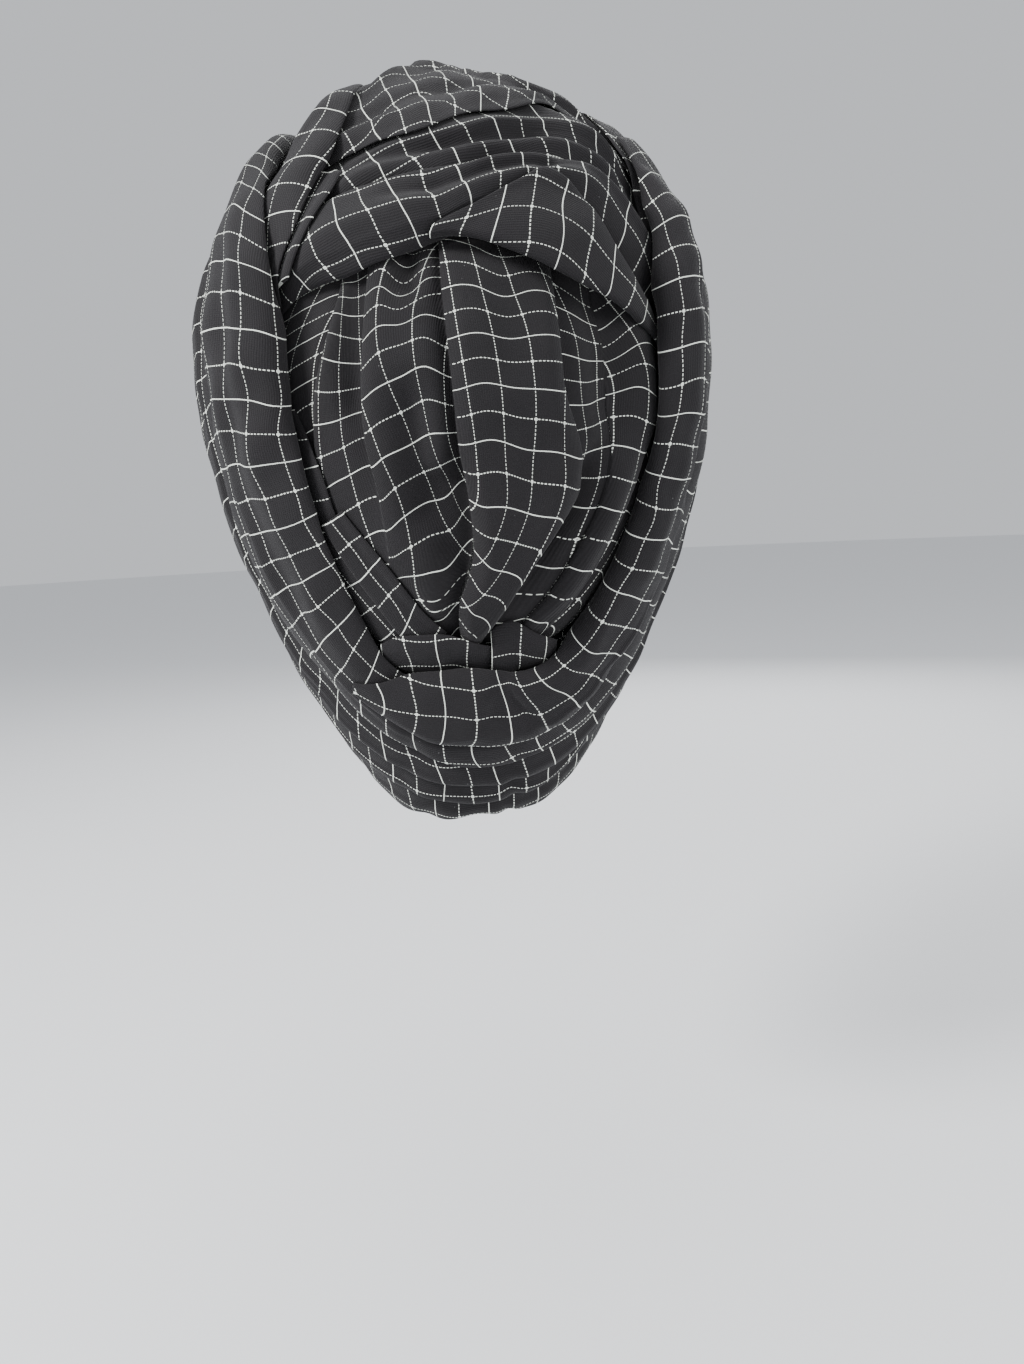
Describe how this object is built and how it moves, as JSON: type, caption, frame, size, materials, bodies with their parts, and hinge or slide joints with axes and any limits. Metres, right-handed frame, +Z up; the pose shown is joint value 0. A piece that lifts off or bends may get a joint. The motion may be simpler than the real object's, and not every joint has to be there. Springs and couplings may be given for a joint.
{
  "type": "turban headwrap",
  "caption": "Wound cloth headwrap, open below for the head, with a gathered panel at the back between thick side folds.",
  "frame": {"origin": "middle of the slanted head opening, at the level of its rim", "axes": "+Z up through the crown, the wearer faces -Y, so the nape and the gathered panel are on the +Y side and the wearer's left ear on the +X side"},
  "size_m": [0.2516, 0.252, 0.3502],
  "materials": {
    "printed_knit": "matte charcoal knit with an off-white windowpane check of solid and dotted lines"
  },
  "bodies": {
    "root": {"first_turn": "printed_knit", "crown_panel": "printed_knit", "nape_bottom_fold": "printed_knit", "nape_lower_fold": "printed_knit", "outer_side_fold": "printed_knit", "top_front_fold": "printed_knit", "top_middle_fold": "printed_knit", "top_upper_fold": "printed_knit", "top_lower_fold": "printed_knit", "tucked_tail": "printed_knit", "pocket_fold": "printed_knit", "tail_strip": "printed_knit", "left_inner_roll": "printed_knit", "thin_inner_fold": "printed_knit", "nape_sling": "printed_knit", "nape_knot": "printed_knit", "main_left_fold": "printed_knit", "main_right_fold": "printed_knit"}
  },
  "joints": []
}
